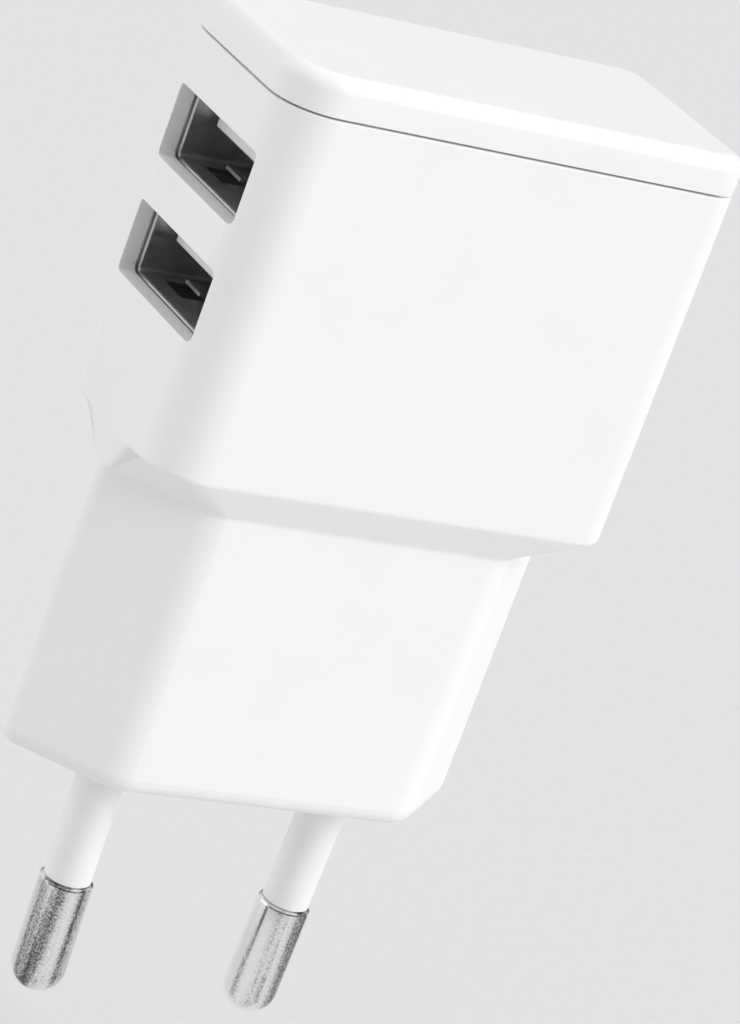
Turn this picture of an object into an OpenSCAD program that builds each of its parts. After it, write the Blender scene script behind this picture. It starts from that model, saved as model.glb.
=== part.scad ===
// Two-port USB wall charger with a flat two-pin plug.
// Frame: the origin is midway between the pins on the face that meets the wall outlet.
// +Z runs away from the wall to the end cover, X along the pair of pins, and the
// sockets open towards -X. All sizes are in millimetres.

/* [Body] */
// Length of the body, along the pair of pins
body_w = 36.2; // [34:0.1:42]
// Thickness of the head
head_d = 17.9; // [16.4:0.1:20.4]
// Height of the head, from the ledge to the cover seam
head_h = 26.7; // [26:0.1:33]
// Thickness of the neck at the wall face
neck_d = 13.5; // [12:0.1:16]
// Length of the neck, along the pair of pins
neck_w = 36; // [33.8:0.1:36.2]
// Height of the neck
neck_h = 21.8; // [21.4:0.1:27]
// How much each broad side of the neck leans out towards the ledge
neck_lean = 0.2; // [0:0.05:0.5]
// Length of the flat part of the neck's broad sides
flat_w = 21.2; // [19:0.1:23]
// Height of the sloping ledge between neck and head
ledge_h = 2.9; // [2:0.1:4]
// Height of the end cover
cap_h = 2.9; // [2.4:0.1:4]
// Gap of the seam under the end cover
seam_gap = 0.15; // [0.1:0.05:0.3]

/* [Walls and edges] */
// Wall of the housing
wall = 1.4; // [1.1:0.1:1.7]
// Floor of the neck, under the pin carrier
floor_t = 2; // [1.6:0.1:2.6]
// Radius of the head's upright edges beside the sockets
corner_r = 3.8; // [2.5:0.1:4.2]
// Radius of the head's upright edges at the far end
far_corner_r = 2.2; // [1.8:0.1:4]
// Radius of the neck's upright edges beside its broad sides
neck_edge_r = 3; // [2:0.1:4]
// Radius of the neck's narrow ends
nose_r = 1.6; // [1.5:0.1:2.5]
// Radius of the edge round the wall face
face_edge_r = 1.4; // [0.6:0.1:1.4]
// Radius of the end cover's upper edge
cap_edge_r = 1.1; // [0.6:0.1:2]

/* [Pins] */
// Diameter of the metal end of a pin
pin_d = 4; // [3.4:0.1:4.8]
// Length of a pin in front of the wall face
pin_len = 19; // [17:0.5:22]
// Distance between the pins at the wall face
pin_gap = 18.6; // [17.5:0.1:19.6]
// Distance between the pins at their tips
pin_tip_gap = 17.5; // [17:0.1:18.6]
// Diameter of the thin core inside a sleeve
core_d = 2.6; // [2.2:0.1:2.8]
// Diameter of an insulating sleeve
sleeve_d = 3.5; // [3.4:0.05:3.8]
// Length of a sleeve in front of the wall face
sleeve_len = 10; // [9:0.5:11]
// Diameter of the collar at the foot of a sleeve
collar_d = 3.8; // [3.8:0.05:4.1]
// Length of that collar
collar_len = 1.2; // [0.8:0.1:2]

/* [Sockets] */
// Width of a socket's opening
port_w = 12.5; // [12.4:0.05:12.6]
// Height of a socket's opening
port_h = 5.12; // [5:0.02:5.2]
// Length of a socket's shell
shell_l = 14; // [13:0.1:15]
// Sheet thickness of a socket's shell
shell_t = 0.3; // [0.2:0.05:0.35]
// Distance between the two sockets
port_pitch = 8.6; // [8:0.1:9.4]
// Distance from the cover seam down to the middle of the upper socket
port_drop = 6.6; // [6.2:0.1:7.6]
// Width of a tongue
tongue_w = 11.1; // [10.8:0.1:11.3]
// Thickness of a tongue
tongue_t = 1.84; // [1.7:0.02:1.9]
// How far a tongue's front stays behind the front of its shell
tongue_back = 1.6; // [1:0.1:2.5]
// Gap between a tongue and the upper wall of its shell
tongue_gap = 0.55; // [0.4:0.05:0.7]
// Width of a contact
contact_w = 1; // [0.8:0.1:1.1]
// Sheet thickness of a contact
contact_t = 0.25; // [0.15:0.05:0.3]
// Width of a latch tab
latch_w = 2.4; // [1.8:0.1:3]
// Length of a latch tab
latch_l = 3.8; // [3:0.1:4.4]

/* [Boards] */
// Thickness of both circuit boards
board_t = 1; // [0.8:0.1:1.2]
// Gap between the main board and the broad wall of the neck
board_gap = 0.2; // [0.1:0.05:0.4]

/* [Parts on the boards] */
// Diameter of an input capacitor
in_cap_d = 7.8; // [6.3:0.1:7.8]
// Length of an input capacitor
in_cap_l = 11.6; // [9:0.1:12]
// Diameter of an output capacitor
out_cap_d = 6.3; // [5:0.1:6.6]
// Width of the transformer core
core_w = 13; // [11:0.1:13.4]
// Height of the transformer core
core_h = 12.4; // [10:0.1:13]
// Depth of the transformer core
core_depth = 6; // [4:0.1:6.4]

/* [Hidden] */
$fn = 48;
eps = 0.02;
// Clearance between two pieces that seat on each other
seat = 0.1;
// Clearance round a pin core in its sleeve and its carrier
core_gap = 0.02;

ledge_z = neck_h + ledge_h;
seam_z = ledge_z + head_h;
top_z = seam_z + cap_h;
inner_x = body_w / 2 - wall;
inner_y = head_d / 2 - wall;
pin_tilt = atan((pin_gap - pin_tip_gap) / 2 / pin_len);

upper_port_z = seam_z - port_drop;
lower_port_z = upper_port_z - port_pitch;
shell_w = port_w + 2 * shell_t;
shell_h = port_h + 2 * shell_t;
// Gap between the housing's wall and the front of a shell
shell_gap = 0.25;
shell_x = -inner_x + shell_gap;
shell_end_x = shell_x + shell_l;
window_gap = 0.1;
// How far the neck and the ledge run into each other
bury = 0.15;

socket_board_x = shell_end_x + 0.45;
board_y = neck_d / 2 - wall - board_gap - board_t;
board_foot_z = floor_t + 4.3;
board_top_z = seam_z - 2.6;
// The main board widens above the ledge, and narrows beside the sockets
board_step_z = ledge_z + 0.5;
board_shoulder_z = lower_port_z - shell_h / 2 - 1.7;
board_right_x = inner_x - 0.7;

carrier_h = 3.9;
carrier_w = pin_gap + 7;
carrier_d = 7.2;
flange_d = pin_d + 0.8;

tongue_x = shell_x + tongue_back;
block_x = shell_end_x - 3.1;
contact_pitch = [-3.5, -1, 1, 3.5];
contact_root_x = block_x - 0.4;
groove_h = 1.35;
// Height of a contact's spring line above the middle of its socket
contact_root_z = 0.9;
latch_root_x = shell_x + 5.7;
latch_y = 3.6;

sheet_x = socket_board_x + board_t + 0.75;
core_x = sheet_x + 1 + core_w / 2;
core_y = board_y - 5.1;
core_z = board_step_z + 0.6 + core_h / 2;
cap_z = (core_z + core_h / 2 + board_top_z) / 2 - 0.3;

// Outline of the head, drawn in by a distance
module head_outline(inset) {
    r_near = max(corner_r - inset, 0.3);
    r_far = max(far_corner_r - inset, 0.3);
    half_w = body_w / 2 - inset;
    half_d = head_d / 2 - inset;
    translate([-half_w + r_near, -half_d])
        square([2 * half_w - r_near - r_far, 2 * half_d]);
    translate([-half_w, -half_d + r_near])
        square([r_near + eps, 2 * (half_d - r_near)]);
    translate([half_w - r_far - eps, -half_d + r_far])
        square([r_far + eps, 2 * (half_d - r_far)]);
    for (side = [-1, 1]) {
        translate([-half_w + r_near, side * (half_d - r_near)])
            circle(r_near);
        translate([half_w - r_far, side * (half_d - r_far)])
            circle(r_far);
    }
}

// Thin slice of the head's outline, as its four rounded corners
module head_ring(z, inset) {
    r_near = max(corner_r - inset, 0.3);
    r_far = max(far_corner_r - inset, 0.3);
    for (side = [-1, 1]) {
        translate([-body_w / 2 + inset + r_near, side * (head_d / 2 - inset - r_near), z])
            cylinder(r = r_near, h = eps, $fn = 24);
        translate([body_w / 2 - inset - r_far, side * (head_d / 2 - inset - r_far), z])
            cylinder(r = r_far, h = eps, $fn = 24);
    }
}

// Thin slice of the neck's six-sided outline, as its rounded corners
module neck_ring(z, inset) {
    half_d = neck_d / 2 + neck_lean * z / neck_h - inset;
    r_edge = max(neck_edge_r - inset, 0.2);
    r_nose = max(nose_r - inset, 0.2);
    for (x_side = [-1, 1]) {
        for (y_side = [-1, 1])
            translate([x_side * flat_w / 2, y_side * (half_d - r_edge), z])
                cylinder(r = r_edge, h = eps, $fn = 24);
        translate([x_side * (neck_w / 2 - inset - r_nose), 0, z])
            cylinder(r = r_nose, h = eps, $fn = 24);
    }
}

// Solid neck, with a rounded edge at its foot
module neck_form() {
    hull() {
        for (a = [0:22.5:90])
            neck_ring(face_edge_r * (1 - cos(a)), face_edge_r * (1 - sin(a)));
        neck_ring(ledge_z - bury, 0);
    }
}

// Hollow of the neck, down to its floor
module neck_hollow() {
    hull() {
        neck_ring(floor_t, wall);
        neck_ring(ledge_z - bury, wall);
    }
}

// Head with the ledge that blends it into the neck, or the hollow inside them
module head_form(inset, high_z) {
    hull() {
        neck_ring(neck_h, inset + bury);
        head_ring(ledge_z, inset);
        head_ring(high_z - eps, inset);
    }
}

// Places its child on a pin's axis, with +Z running out towards the tip
module on_pin(side) {
    translate([side * pin_gap / 2, 0, 0])
        rotate([0, side * pin_tilt, 0])
            mirror([0, 0, 1])
                children();
}

// Profile in X and Z, extruded along Y from y0
module along_y(y0, length) {
    translate([0, y0 + length, 0])
        rotate([90, 0, 0])
            linear_extrude(length)
                children();
}

// Rectangle with round corners, centred
module soft_rect(w, h, r) {
    square([w - 2 * r, h], center = true);
    square([w, h - 2 * r], center = true);
    for (x_side = [-1, 1], y_side = [-1, 1])
        translate([x_side * (w / 2 - r), y_side * (h / 2 - r)])
            circle(r);
}

// Bar along X with a round-cornered section, wide in Y and high in Z
module bar_x(x0, length, w, h, r) {
    translate([x0, 0, 0])
        rotate([90, 0, 90])
            linear_extrude(length)
                soft_rect(w, h, r);
}

module housing() {
    rib_t = 0.9;
    color("white") {
        difference() {
            union() {
                neck_form();
                head_form(0, seam_z);
            }
            neck_hollow();
            head_form(wall, seam_z + 1);
            for (z = [lower_port_z, upper_port_z])
                translate([0, 0, z]) {
                    bar_x(-body_w / 2 - 1, wall + 3, port_w + 2 * window_gap,
                          port_h + 2 * window_gap, 0.5);
                    bar_x(-inner_x, 4, shell_w + 0.3, shell_h + 0.3, 0.6);
                }
            for (side = [-1, 1])
                on_pin(side)
                    translate([0, 0, -floor_t - 1])
                        cylinder(d = collar_d + 0.1, h = floor_t + 2);
        }
        // Two ribs hold the edge of the main board at the far end
        for (y = [board_y - 0.12 - rib_t, board_y + board_t + 0.12])
            translate([board_right_x - 0.6, y, board_step_z + 1])
                cube([inner_x - board_right_x + 0.8, rib_t, 20]);
    }
}

module end_cover() {
    skirt_h = 2.2;
    color("white") {
        hull() {
            head_ring(seam_z + seam_gap, 0);
            for (a = [0:22.5:90])
                head_ring(top_z - eps - cap_edge_r * (1 - sin(a)), cap_edge_r * (1 - cos(a)));
        }
        translate([0, 0, seam_z - skirt_h])
            linear_extrude(skirt_h + seam_gap + eps)
                difference() {
                    head_outline(wall + seat);
                    head_outline(wall + seat + 0.9);
                }
    }
}

module pin_carrier() {
    color("ivory")
        difference() {
            translate([0, 0, floor_t + 0.05])
                linear_extrude(carrier_h)
                    polygon([
                        [-carrier_w / 2, -1.2], [-flat_w / 2, -carrier_d / 2],
                        [flat_w / 2, -carrier_d / 2], [carrier_w / 2, -1.2],
                        [carrier_w / 2, 1.2], [flat_w / 2, carrier_d / 2],
                        [-flat_w / 2, carrier_d / 2], [-carrier_w / 2, 1.2]
                    ]);
            for (side = [-1, 1])
                on_pin(side) {
                    translate([0, 0, -floor_t - carrier_h - 1])
                        cylinder(d = core_d + 2 * core_gap, h = carrier_h + 1);
                    translate([0, 0, -floor_t - 1.3])
                        cylinder(d = flange_d + 0.2, h = 1.3);
                }
            // Notches that save plastic between the pins
            for (y_side = [-1, 1])
                translate([0, y_side * carrier_d / 2, floor_t + carrier_h / 2])
                    cube([pin_gap - 8, 2.4, carrier_h + 1], center = true);
        }
}

// A pin: solid end, thin core, and a flange that the carrier holds
module pin(side) {
    tail = floor_t + carrier_h + 1.1;
    straight = pin_len - pin_d / 2;
    color("silver")
        on_pin(side)
            rotate_extrude() {
                translate([0, straight])
                    intersection() {
                        circle(d = pin_d);
                        translate([0, -eps])
                            square([pin_d, pin_d]);
                    }
                translate([0, sleeve_len + 0.25])
                    square([pin_d / 2, straight - sleeve_len - 0.25]);
                polygon([
                    [0, sleeve_len], [pin_d / 2 - 0.2, sleeve_len],
                    [pin_d / 2, sleeve_len + 0.25], [0, sleeve_len + 0.25]
                ]);
                translate([0, -tail])
                    square([core_d / 2, tail + sleeve_len]);
                translate([0, -floor_t - 1.1])
                    square([flange_d / 2, 0.9]);
            }
}

module sleeve(side) {
    step = (collar_d - sleeve_d) / 2;
    color("white")
        on_pin(side)
            rotate_extrude()
                polygon([
                    [core_d / 2 + core_gap, -floor_t + 0.1],
                    [collar_d / 2, -floor_t + 0.1],
                    [collar_d / 2, collar_len],
                    [collar_d / 2 - step, collar_len + 0.3],
                    [collar_d / 2 - step, sleeve_len - 0.03],
                    [core_d / 2 + core_gap, sleeve_len - 0.03]
                ]);
}

// Brass strip from the tail of a pin up to the main board
module pin_strip(side) {
    z = floor_t + carrier_h + 0.25;
    t = 0.4;
    x = side * (pin_gap / 2 + z * tan(pin_tilt));
    color("goldenrod")
        difference() {
            union() {
                translate([x - 1.9, -1.9, z])
                    cube([3.8, board_y - seat + 1.9, t]);
                translate([x - 0.8, board_y - seat - t, z])
                    cube([1.6, t, 4.2]);
            }
            on_pin(side)
                translate([0, 0, -z - 2])
                    cylinder(d = core_d + 2 * core_gap, h = 4);
        }
}

module main_board() {
    neck_half = flat_w / 2 + 0.2;
    shoulder_x = -inner_x + 1.1;
    upper_x = socket_board_x + board_t + 0.5;
    color("seagreen")
        along_y(board_y, board_t)
            polygon([
                [-neck_half, board_foot_z], [neck_half, board_foot_z],
                [neck_half, board_step_z], [board_right_x, board_step_z],
                [board_right_x, board_top_z], [upper_x, board_top_z],
                [upper_x, board_shoulder_z], [shoulder_x, board_shoulder_z],
                [shoulder_x, board_step_z], [-neck_half, board_step_z]
            ]);
}

module socket_board() {
    low_z = lower_port_z - shell_h / 2 - 1.4;
    color("seagreen")
        difference() {
            translate([socket_board_x, -shell_w / 2 - 0.2, low_z])
                cube([board_t, shell_w + 0.4, board_top_z - low_z]);
            for (z = [lower_port_z, upper_port_z], y = contact_pitch)
                translate([socket_board_x - 1, y, z - 0.8])
                    rotate([0, 90, 0])
                        cylinder(d = 0.9, h = board_t + 2);
        }
}

module socket_shell(z) {
    slot_w = latch_w + 0.5;
    color("silver")
        translate([0, 0, z])
            difference() {
                bar_x(shell_x, shell_l, shell_w, shell_h, 0.6);
                bar_x(shell_x - 1, shell_l + 2, port_w, port_h, 0.35);
                for (y_side = [-1, 1])
                    translate([latch_root_x - latch_l - 0.25, y_side * latch_y - slot_w / 2,
                               -shell_h / 2 - 1])
                        cube([latch_l + 0.3, slot_w, 1.4]);
            }
}

module insulator(z) {
    tongue_z = port_h / 2 - tongue_gap - tongue_t;
    color("white")
        translate([0, 0, z])
            difference() {
                union() {
                    bar_x(block_x, shell_end_x - block_x, port_w - 0.1, port_h - 0.1, 0.35);
                    translate([tongue_x, -tongue_w / 2, tongue_z])
                        cube([block_x - tongue_x + eps, tongue_w, tongue_t]);
                }
                for (y = contact_pitch) {
                    translate([tongue_x + 0.5, y - contact_w / 2 - 0.15, tongue_z - 1])
                        cube([block_x - tongue_x - 0.5, contact_w + 0.3, groove_h + 1]);
                    // Slot through the block for the fixed tail of the contact
                    translate([block_x - 1, y - contact_w / 2 - 0.05,
                               contact_root_z - contact_t - 0.05])
                        cube([shell_l, contact_w + 0.1, contact_t + 0.1]);
                }
            }
}

// Sprung front part of a contact, from its spring line to its tip
module contact(z, y) {
    root = [contact_root_x, contact_root_z];
    bump_x = tongue_x + 3.1;
    bump_z = port_h / 2 - tongue_gap - tongue_t - 0.55;
    tip = [tongue_x + 1.3, bump_z + 0.85];
    color("gold")
        translate([0, 0, z])
            along_y(y - contact_w / 2, contact_w)
                polygon([
                    [root.x, root.y], [bump_x + 0.5, bump_z + contact_t],
                    [bump_x - 0.3, bump_z + contact_t], tip,
                    [tip.x - 0.2, tip.y - 0.2], [bump_x - 0.4, bump_z],
                    [bump_x + 0.6, bump_z], [root.x, root.y - contact_t]
                ]);
}

// Fixed tails of a socket's four contacts, from the spring line to the socket board
module contact_tails(z) {
    tail_end_x = socket_board_x + board_t + 0.4;
    bend_x = shell_end_x + 0.3;
    color("gold")
        for (y = contact_pitch)
            translate([0, 0, z]) {
                translate([contact_root_x + 0.03, y - contact_w / 2, contact_root_z - contact_t])
                    cube([bend_x - contact_root_x - 0.03, contact_w, contact_t]);
                translate([bend_x - contact_t, y - 0.3, -1.1])
                    cube([contact_t, 0.6, contact_root_z + 1.1]);
                translate([bend_x - contact_t, y - 0.3, -0.8 - contact_t / 2])
                    cube([tail_end_x - bend_x + contact_t, 0.6, contact_t]);
            }
}

// Sprung tab in the lower wall of a socket's shell, with its turned-down lip
module latch(z, y) {
    low = -shell_h / 2;
    rise = 0.5;
    x0 = latch_root_x - 0.03;
    x1 = latch_root_x - latch_l + 1;
    x2 = latch_root_x - latch_l;
    color("silver")
        translate([0, 0, z])
            along_y(y - latch_w / 2, latch_w)
                polygon([
                    [x0, low], [x0, low + shell_t],
                    [x1 + 0.2, low + shell_t + rise], [x1 - 0.3, low + shell_t + rise],
                    [x2, low + shell_t], [x2 + 0.15, low + 0.05],
                    [x1, low + rise], [x1 + 0.2, low + rise]
                ]);
}

// One half of the core: back, two outer legs and a centre leg. up is 1 for the upper half
module core_half(up) {
    back_t = 2;
    leg_h = core_h / 2 - 0.04;
    color("dimgray")
        translate([core_x, core_y, core_z])
            mirror([0, 0, up > 0 ? 0 : 1]) {
                translate([-core_w / 2, -core_depth / 2, core_h / 2 - back_t])
                    cube([core_w, core_depth, back_t]);
                for (leg = [[-core_w / 2, 1.9], [-1.6, 3.2], [core_w / 2 - 1.9, 1.9]])
                    translate([leg[0], -core_depth / 2, core_h / 2 - leg_h])
                        cube([leg[1], core_depth, leg_h]);
            }
}

module transformer_bobbin() {
    flange_w = core_w - 4;
    flange_y = core_depth + 3.2;
    window_h = core_h - 4.3;
    color("black")
        translate([core_x, core_y, core_z])
            difference() {
                union() {
                    cube([4.4, core_depth + 1.2, window_h], center = true);
                    for (side = [-1, 1])
                        translate([0, 0, side * (window_h / 2 - 0.35)])
                            cube([flange_w, flange_y, 0.7], center = true);
                    // Foot that carries the transformer on the main board
                    translate([-flange_w / 2, 0, -window_h / 2])
                        cube([flange_w, board_y - core_y - seat, 0.7]);
                }
                cube([3.4, core_depth + 0.2, core_h], center = true);
            }
}

module transformer_winding() {
    window_h = core_h - 4.3;
    color("gold")
        translate([core_x, core_y, core_z])
            difference() {
                cube([core_w - 4.6, core_depth + 2.7, window_h - 1.6], center = true);
                cube([4.5, core_depth + 1.3, core_h], center = true);
            }
}

// Input capacitor standing in the neck, with its two leads bent to the main board
module input_capacitor(side) {
    x = side * (in_cap_d / 2 + 0.5);
    y = board_y - seat - in_cap_d / 2;
    z = board_foot_z + 3.2;
    color("darkslateblue") {
        translate([x, y, z])
            cylinder(d = in_cap_d, h = in_cap_l);
        for (lead = [-1.2, 1.2]) {
            translate([x + lead, y, z + in_cap_l - eps])
                cylinder(d = 0.6, h = 1);
            translate([x + lead, y, z + in_cap_l + 0.7])
                rotate([-90, 0, 0])
                    cylinder(d = 0.5, h = board_y - y - 0.03);
        }
    }
}

// Output capacitor standing on the main board, above the transformer
module output_capacitor(side) {
    color("darkslategray")
        translate([core_x + side * (out_cap_d / 2 + 0.4), -inner_y + 0.5, cap_z])
            rotate([-90, 0, 0])
                cylinder(d = out_cap_d, h = board_y - seat + inner_y - 0.5);
}

module bridge_rectifier() {
    color("dimgray")
        translate([-2.4, board_y - 2.4 - 0.05, board_foot_z + 0.2])
            cube([4.8, 2.4, 2.6]);
}

// Barrel part on the main board's front, upright, with a lead at each end
module barrel(x, z, d, l) {
    y = board_y - 0.6 - d / 2;
    translate([x, y, z])
        cylinder(d = d, h = l);
    for (end = [-0.5, l + 0.5])
        translate([x, y, z + end])
            rotate([-90, 0, 0])
                cylinder(d = 0.5, h = board_y - y - 0.03);
    translate([x, y, z - 0.8])
        cylinder(d = 0.6, h = l + 1.6);
}

module fusible_resistor() {
    color("steelblue")
        barrel(-in_cap_d - 1.8, board_foot_z + 6, 2, 7);
}

module filter_choke() {
    color("olivedrab")
        barrel(in_cap_d + 1.8, board_foot_z + 6, 2, 7);
}

// Drum choke under the sockets, its flanges wider than its winding
module output_choke() {
    d = 5.4;
    l = 5.6;
    color("dimgray")
        translate([-inner_x + 4.6, board_y - seat - l, (board_step_z + board_shoulder_z) / 2])
            rotate([-90, 0, 0]) {
                cylinder(d = d - 0.8, h = l);
                cylinder(d = d, h = 1);
                translate([0, 0, l - 1])
                    cylinder(d = d, h = 1);
            }
}

module y_capacitor() {
    d = 5.6;
    x = -inner_x + 10.2;
    y = board_y - 1 - d / 2;
    z = (board_step_z + board_shoulder_z) / 2;
    color("royalblue") {
        translate([x - 1.5, y, z])
            rotate([0, 90, 0])
                cylinder(d = d, h = 3);
        for (lead = [-1.9, 1.9])
            translate([x, y, z + lead])
                rotate([-90, 0, 0])
                    cylinder(d = 0.6, h = board_y - y - 0.03);
    }
}

// Flat packaged part on the main board's back
module back_chip(x, z, w, h, t) {
    translate([x - w / 2, board_y + board_t + 0.03, z - h / 2])
        cube([w, t, h]);
}

module optocoupler() {
    color("black")
        back_chip(-2, board_step_z + 3.2, 6.5, 4.4, 1.4);
}

module switching_controller() {
    color("black")
        back_chip(core_x, core_z, 4.9, 3.9, 1.4);
}

module output_diode() {
    color("black")
        back_chip(core_x, cap_z, 4.3, 3.6, 1.6);
}

// Small chip on the back of the socket board, between the two rows of tails
module port_controller() {
    color("black")
        translate([socket_board_x + board_t + 0.03, -1.5,
                   (upper_port_z + lower_port_z) / 2 - 2.2])
            cube([0.65, 3, 3]);
}

module insulation_sheet() {
    low_z = board_step_z + 0.4;
    color("lightyellow")
        translate([sheet_x, -inner_y + 0.4, low_z])
            cube([0.3, inner_y - 0.4 + board_y - seat, board_top_z - low_z]);
}

housing();
end_cover();
pin_carrier();
pin(-1);  // left_pin
pin(1);  // right_pin
sleeve(-1);  // left_sleeve
sleeve(1);  // right_sleeve
pin_strip(-1);  // left_pin_strip
pin_strip(1);  // right_pin_strip
main_board();
socket_board();
socket_shell(upper_port_z);  // upper_socket_shell
socket_shell(lower_port_z);  // lower_socket_shell
insulator(upper_port_z);  // upper_insulator
insulator(lower_port_z);  // lower_insulator
contact(upper_port_z, contact_pitch[0]);  // upper_contact_1
contact(upper_port_z, contact_pitch[1]);  // upper_contact_2
contact(upper_port_z, contact_pitch[2]);  // upper_contact_3
contact(upper_port_z, contact_pitch[3]);  // upper_contact_4
contact(lower_port_z, contact_pitch[0]);  // lower_contact_1
contact(lower_port_z, contact_pitch[1]);  // lower_contact_2
contact(lower_port_z, contact_pitch[2]);  // lower_contact_3
contact(lower_port_z, contact_pitch[3]);  // lower_contact_4
contact_tails(upper_port_z);  // upper_contact_tails
contact_tails(lower_port_z);  // lower_contact_tails
latch(upper_port_z, -latch_y);  // upper_latch_front
latch(upper_port_z, latch_y);  // upper_latch_back
latch(lower_port_z, -latch_y);  // lower_latch_front
latch(lower_port_z, latch_y);  // lower_latch_back
core_half(1);  // transformer_core_top
core_half(-1);  // transformer_core_bottom
transformer_bobbin();
transformer_winding();
input_capacitor(-1);  // left_input_capacitor
input_capacitor(1);  // right_input_capacitor
output_capacitor(-1);  // left_output_capacitor
output_capacitor(1);  // right_output_capacitor
bridge_rectifier();
fusible_resistor();
filter_choke();
output_choke();
y_capacitor();
optocoupler();
switching_controller();
output_diode();
port_controller();
insulation_sheet();
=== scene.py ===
import math

import bmesh
import bpy
from mathutils import Matrix, Vector


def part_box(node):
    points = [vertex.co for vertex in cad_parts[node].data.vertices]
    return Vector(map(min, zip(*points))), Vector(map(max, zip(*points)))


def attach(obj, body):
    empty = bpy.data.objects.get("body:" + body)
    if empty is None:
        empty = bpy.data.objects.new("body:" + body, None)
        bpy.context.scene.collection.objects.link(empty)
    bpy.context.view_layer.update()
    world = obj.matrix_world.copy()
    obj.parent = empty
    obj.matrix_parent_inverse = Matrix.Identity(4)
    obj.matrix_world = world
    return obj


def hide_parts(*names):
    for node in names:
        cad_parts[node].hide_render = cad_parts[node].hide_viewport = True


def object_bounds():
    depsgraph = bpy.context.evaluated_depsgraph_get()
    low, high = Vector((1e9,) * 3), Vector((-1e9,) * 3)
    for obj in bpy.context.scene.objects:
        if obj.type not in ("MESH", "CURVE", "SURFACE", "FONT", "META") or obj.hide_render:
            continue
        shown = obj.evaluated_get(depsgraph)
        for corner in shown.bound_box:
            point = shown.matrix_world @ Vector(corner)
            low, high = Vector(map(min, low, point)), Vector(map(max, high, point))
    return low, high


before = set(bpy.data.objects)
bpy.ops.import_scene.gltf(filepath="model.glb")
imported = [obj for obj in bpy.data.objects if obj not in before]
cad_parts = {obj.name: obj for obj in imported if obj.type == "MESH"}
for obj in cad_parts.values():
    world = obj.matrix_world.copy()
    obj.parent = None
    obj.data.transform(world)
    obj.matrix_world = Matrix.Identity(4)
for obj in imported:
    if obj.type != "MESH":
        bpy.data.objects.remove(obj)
cad_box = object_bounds()
mm = 0.001

# ------------------------------------------------------------------ studio
# The charger hangs over a wide sheet of matt white paper, seen from its socket end and a
# little from above. A broad lamp lights its front, and a weaker one its socket end.
bpy.ops.object.camera_add(
    location=(-179.55 * mm, -285.25 * mm, 134.54 * mm),
    rotation=(math.radians(70.359), math.radians(-19.335), math.radians(-26.011)),
)
camera = bpy.context.object
camera.data.sensor_width = 36
camera.data.lens = 178.8
camera.data.shift_x = 0.003
camera.data.clip_start = 10 * mm
bpy.context.scene.camera = camera
bpy.context.scene.view_settings.view_transform = "Standard"


def new_material(name, metallic=0.0, ior=1.46):
    """A material with its shader and its Object coordinates, for one finish."""
    made = bpy.data.materials.new(name)
    made.use_nodes = True
    shader = made.node_tree.nodes["Principled BSDF"]
    shader.inputs["Metallic"].default_value = metallic
    shader.inputs["IOR"].default_value = ior
    place = made.node_tree.nodes.new("ShaderNodeTexCoord")
    return made, shader, place.outputs["Object"]


def add_node(made, kind, inputs=None, **settings):
    """A node of a material. inputs maps a socket's name to a value or to what feeds it."""
    node = made.node_tree.nodes.new("ShaderNode" + kind)
    for key, value in settings.items():
        setattr(node, key, value)
    for key, value in (inputs or {}).items():
        if isinstance(value, bpy.types.NodeSocket):
            made.node_tree.links.new(value, node.inputs[key])
        else:
            node.inputs[key].default_value = value
    return node


def noise(made, place, scale, detail=2.0, roughness=0.5, stretch=None):
    """Soft random cloud of about 1/scale metres, drawn out along an axis by stretch."""
    if stretch:
        place = add_node(made, "Mapping", {"Vector": place, "Scale": stretch}).outputs[0]
    return add_node(
        made, "TexNoise",
        {"Vector": place, "Scale": scale, "Detail": detail, "Roughness": roughness},
    ).outputs["Fac"]


def spread(made, value, low, high):
    """Turns a pattern's middle range into a number between low and high."""
    return add_node(
        made, "MapRange",
        {"Value": value, "From Min": 0.3, "From Max": 0.7, "To Min": low, "To Max": high},
    ).outputs["Result"]


def grey(level):
    return (level, level, level)


def tint(made, value, *stops):
    """Turns a pattern into colours. A stop is a place from 0 to 1 and its colour."""
    ramp = add_node(made, "ValToRGB", {"Fac": value})
    elements = ramp.color_ramp.elements
    while len(elements) < len(stops):
        elements.new(0.5)
    for element, (where, colour) in zip(elements, stops):
        element.position = where
        element.color = (*colour, 1)
    return ramp.outputs["Color"]


def link_patterns(made, shader, colour=None, rough=None, height=None, strength=0.2, depth=0.02 * mm):
    """Links a material's patterns to its shader."""
    links = made.node_tree.links
    if colour is not None:
        links.new(colour, shader.inputs["Base Color"])
    if rough is not None:
        links.new(rough, shader.inputs["Roughness"])
    if height is not None:
        bump = add_node(made, "Bump", {"Height": height, "Strength": strength, "Distance": depth})
        links.new(bump.outputs["Normal"], shader.inputs["Normal"])
    return made


paper, paper_shader, paper_place = new_material("studio_paper")
paper_grain = noise(paper, paper_place, 900, 4)
link_patterns(
    paper, paper_shader,
    colour=tint(paper, paper_grain, (0.3, grey(0.70)), (0.7, grey(0.72))),
    rough=spread(paper, paper_grain, 0.85, 0.95),
)
paper_drop = 12 * mm
paper_z = cad_box[0].z - paper_drop
bpy.ops.mesh.primitive_plane_add(size=6, location=(0, 0, paper_z))
floor = bpy.context.object
floor.name = "studio_floor"
floor.data.materials.append(paper)

sky = bpy.data.worlds.new("studio_air")
sky.use_nodes = True
sky_light = sky.node_tree.nodes["Background"]
sky_light.inputs["Strength"].default_value = 0.8
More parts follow.
